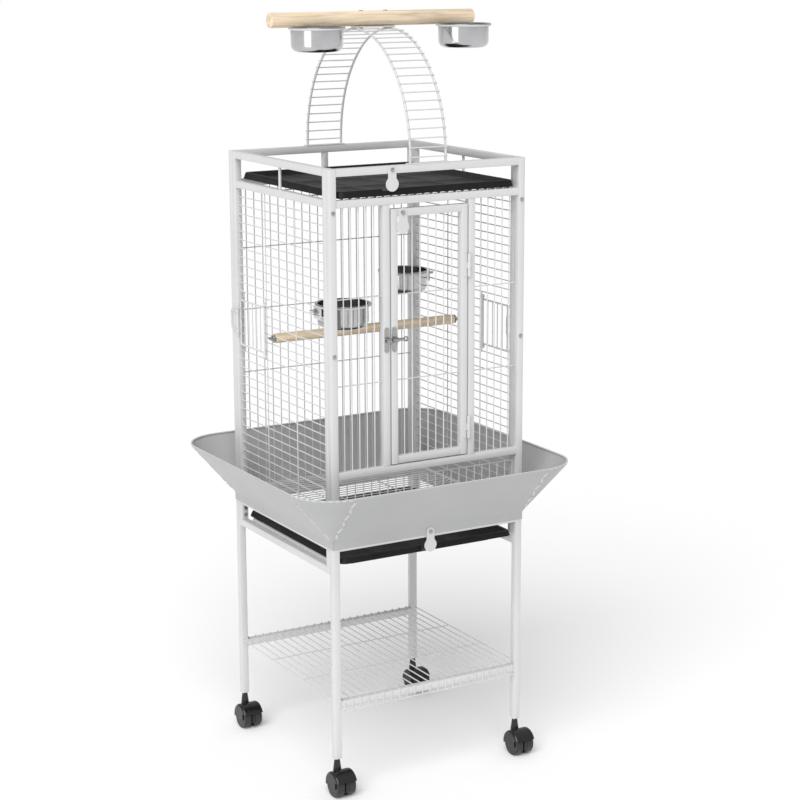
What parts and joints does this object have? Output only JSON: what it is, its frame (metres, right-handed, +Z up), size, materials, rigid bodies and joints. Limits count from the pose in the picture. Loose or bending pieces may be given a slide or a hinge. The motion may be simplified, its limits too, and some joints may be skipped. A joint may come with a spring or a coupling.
{
  "type": "bird cage on stand",
  "caption": "Square wire bird cage with a play top, hinged door, feeder doors, seed guard and trays, on a wheeled stand with a shelf.",
  "frame": {"origin": "on the floor under the middle of the cage", "axes": "+X to the right, +Y to the back, +Z up; the door faces -Y"},
  "size_m": [0.6324, 0.6324, 1.5512],
  "materials": {
    "frame_white": "powder coat, satin",
    "guard_grey": "powder coat, satin",
    "tray_black": "satin",
    "caster_black": "gloss",
    "wheel_black": "satin",
    "socket_white": "gloss",
    "cup_steel": "polished",
    "zinc": "galvanised",
    "perch_wood": "natural"
  },
  "bodies": {
    "cage": {"back_panel": "frame_white", "bolt_keeper": "zinc", "caster_sockets": "socket_white", "feeder_hinge_clips": "frame_white", "frame_screws": "zinc", "front_panel": "frame_white", "guard_back": "guard_grey", "guard_corners": "guard_grey", "guard_front": "guard_grey", "guard_left": "guard_grey", "guard_right": "guard_grey", "hinge_leaves_frame": "frame_white", "inner_cup_rings": "frame_white", "inner_perch": "perch_wood", "ladder_rails": "frame_white", "ladder_rungs": "frame_white", "left_panel": "frame_white", "leg_back_left": "frame_white", "leg_back_right": "frame_white", "leg_front_left": "frame_white", "leg_front_right": "frame_white", "leg_plugs": "frame_white", "perch_and_cup_fixings": "zinc", "play_cup_rings": "frame_white", "play_perch": "perch_wood", "right_panel": "frame_white", "roof_wires": "frame_white", "shelf": "frame_white", "stand_cross_rails": "frame_white", "stand_side_left": "frame_white", "stand_side_right": "frame_white"},
    "door": {"door": "frame_white", "hinge_leaves_door": "frame_white", "bolt_guide": "zinc", "plate_screw_door": "zinc"},
    "door_bolt": {"door_bolt": "zinc"},
    "plate_top_tray": {"plate_top_tray": "frame_white"},
    "plate_bottom_tray": {"plate_bottom_tray": "frame_white"},
    "plate_door": {"plate_door": "frame_white"},
    "top_tray": {"top_tray": "tray_black"},
    "bottom_tray": {"bottom_tray": "tray_black"},
    "floor_grate": {"floor_grate": "frame_white"},
    "feeder_door_left": {"feeder_door_left": "frame_white"},
    "feeder_door_right": {"feeder_door_right": "frame_white"},
    "feeder_latch_left": {"feeder_latch_left": "frame_white"},
    "feeder_latch_right": {"feeder_latch_right": "frame_white"},
    "inner_cup_left": {"inner_cup_left": "cup_steel"},
    "inner_cup_right": {"inner_cup_right": "cup_steel"},
    "play_cup_left": {"play_cup_left": "cup_steel"},
    "play_cup_right": {"play_cup_right": "cup_steel"},
    "caster_front_left": {"caster_front_left": "caster_black"},
    "caster_wheels_front_left": {"caster_wheels_front_left": "wheel_black"},
    "caster_front_right": {"caster_front_right": "caster_black"},
    "caster_wheels_front_right": {"caster_wheels_front_right": "wheel_black"},
    "caster_back_left": {"caster_back_left": "caster_black"},
    "caster_wheels_back_left": {"caster_wheels_back_left": "wheel_black"},
    "caster_back_right": {"caster_back_right": "caster_black"},
    "caster_wheels_back_right": {"caster_wheels_back_right": "wheel_black"}
  },
  "joints": [
    {"name": "door_hinge", "type": "hinge", "parent": "cage", "child": "door", "pos_m": [0.08875, -0.2259, 0.893], "axis": [0, 0, 1], "range_deg": [0, 150]},
    {"name": "door_bolt_slide", "type": "slide", "parent": "door", "child": "door_bolt", "axis": [-1, 0, 0], "range_m": [0, 0.0125]},
    {"name": "plate_top_tray_pivot", "type": "hinge", "parent": "cage", "child": "plate_top_tray", "pos_m": [-0.085, -0.223, 1.2565], "axis": [0, 1, 0], "range_deg": [-90, 90]},
    {"name": "plate_bottom_tray_pivot", "type": "hinge", "parent": "cage", "child": "plate_bottom_tray", "pos_m": [0, -0.2242, 0.5205], "axis": [0, 1, 0], "range_deg": [-75, 75]},
    {"name": "plate_door_pivot", "type": "hinge", "parent": "door", "child": "plate_door", "pos_m": [-0.062, -0.223, 1.1725], "axis": [0, 1, 0], "range_deg": [-90, 90]},
    {"name": "top_tray_slide", "type": "slide", "parent": "cage", "child": "top_tray", "axis": [0, -1, 0], "range_m": [0, 0.38]},
    {"name": "bottom_tray_slide", "type": "slide", "parent": "cage", "child": "bottom_tray", "axis": [0, -1, 0], "range_m": [0, 0.38]},
    {"name": "floor_grate_lift", "type": "slide", "parent": "cage", "child": "floor_grate", "axis": [0, 0, 1], "range_m": [0, 0.01]},
    {"name": "feeder_door_left_hinge", "type": "hinge", "parent": "cage", "child": "feeder_door_left", "pos_m": [-0.219, 0.073, 0.9075], "axis": [0, 0, 1], "range_deg": [0, 120]},
    {"name": "feeder_latch_left_pivot", "type": "hinge", "parent": "feeder_door_left", "child": "feeder_latch_left", "pos_m": [-0.2262, 0.184, 0.911], "axis": [0, 0, 1], "range_deg": [0, 180]},
    {"name": "inner_cup_left_lift", "type": "slide", "parent": "cage", "child": "inner_cup_left", "axis": [0, 0, 1], "range_m": [0, 0.06]},
    {"name": "play_cup_left_lift", "type": "slide", "parent": "cage", "child": "play_cup_left", "axis": [0, 0, 1], "range_m": [0, 0.06]},
    {"name": "feeder_door_right_hinge", "type": "hinge", "parent": "cage", "child": "feeder_door_right", "pos_m": [0.219, -0.073, 0.9075], "axis": [0, 0, 1], "range_deg": [0, 120]},
    {"name": "feeder_latch_right_pivot", "type": "hinge", "parent": "feeder_door_right", "child": "feeder_latch_right", "pos_m": [0.2262, -0.184, 0.911], "axis": [0, 0, 1], "range_deg": [-180, 0]},
    {"name": "inner_cup_right_lift", "type": "slide", "parent": "cage", "child": "inner_cup_right", "axis": [0, 0, 1], "range_m": [0, 0.06]},
    {"name": "play_cup_right_lift", "type": "slide", "parent": "cage", "child": "play_cup_right", "axis": [0, 0, 1], "range_m": [0, 0.06]},
    {"name": "caster_front_left_swivel", "type": "hinge", "parent": "cage", "child": "caster_front_left", "pos_m": [-0.2145, -0.2145, 0.06], "axis": [0, 0, 1], "continuous": true},
    {"name": "caster_wheels_front_left_spin", "type": "hinge", "parent": "caster_front_left", "child": "caster_wheels_front_left", "pos_m": [-0.2145, -0.2325, 0.025], "axis": [1, 0, 0], "continuous": true},
    {"name": "caster_front_right_swivel", "type": "hinge", "parent": "cage", "child": "caster_front_right", "pos_m": [0.2145, -0.2145, 0.06], "axis": [0, 0, 1], "continuous": true},
    {"name": "caster_wheels_front_right_spin", "type": "hinge", "parent": "caster_front_right", "child": "caster_wheels_front_right", "pos_m": [0.2145, -0.2325, 0.025], "axis": [1, 0, 0], "continuous": true},
    {"name": "caster_back_left_swivel", "type": "hinge", "parent": "cage", "child": "caster_back_left", "pos_m": [-0.2145, 0.2145, 0.06], "axis": [0, 0, 1], "continuous": true},
    {"name": "caster_wheels_back_left_spin", "type": "hinge", "parent": "caster_back_left", "child": "caster_wheels_back_left", "pos_m": [-0.2145, 0.1965, 0.025], "axis": [1, 0, 0], "continuous": true},
    {"name": "caster_back_right_swivel", "type": "hinge", "parent": "cage", "child": "caster_back_right", "pos_m": [0.2145, 0.2145, 0.06], "axis": [0, 0, 1], "continuous": true},
    {"name": "caster_wheels_back_right_spin", "type": "hinge", "parent": "caster_back_right", "child": "caster_wheels_back_right", "pos_m": [0.2145, 0.1965, 0.025], "axis": [1, 0, 0], "continuous": true}
  ]
}
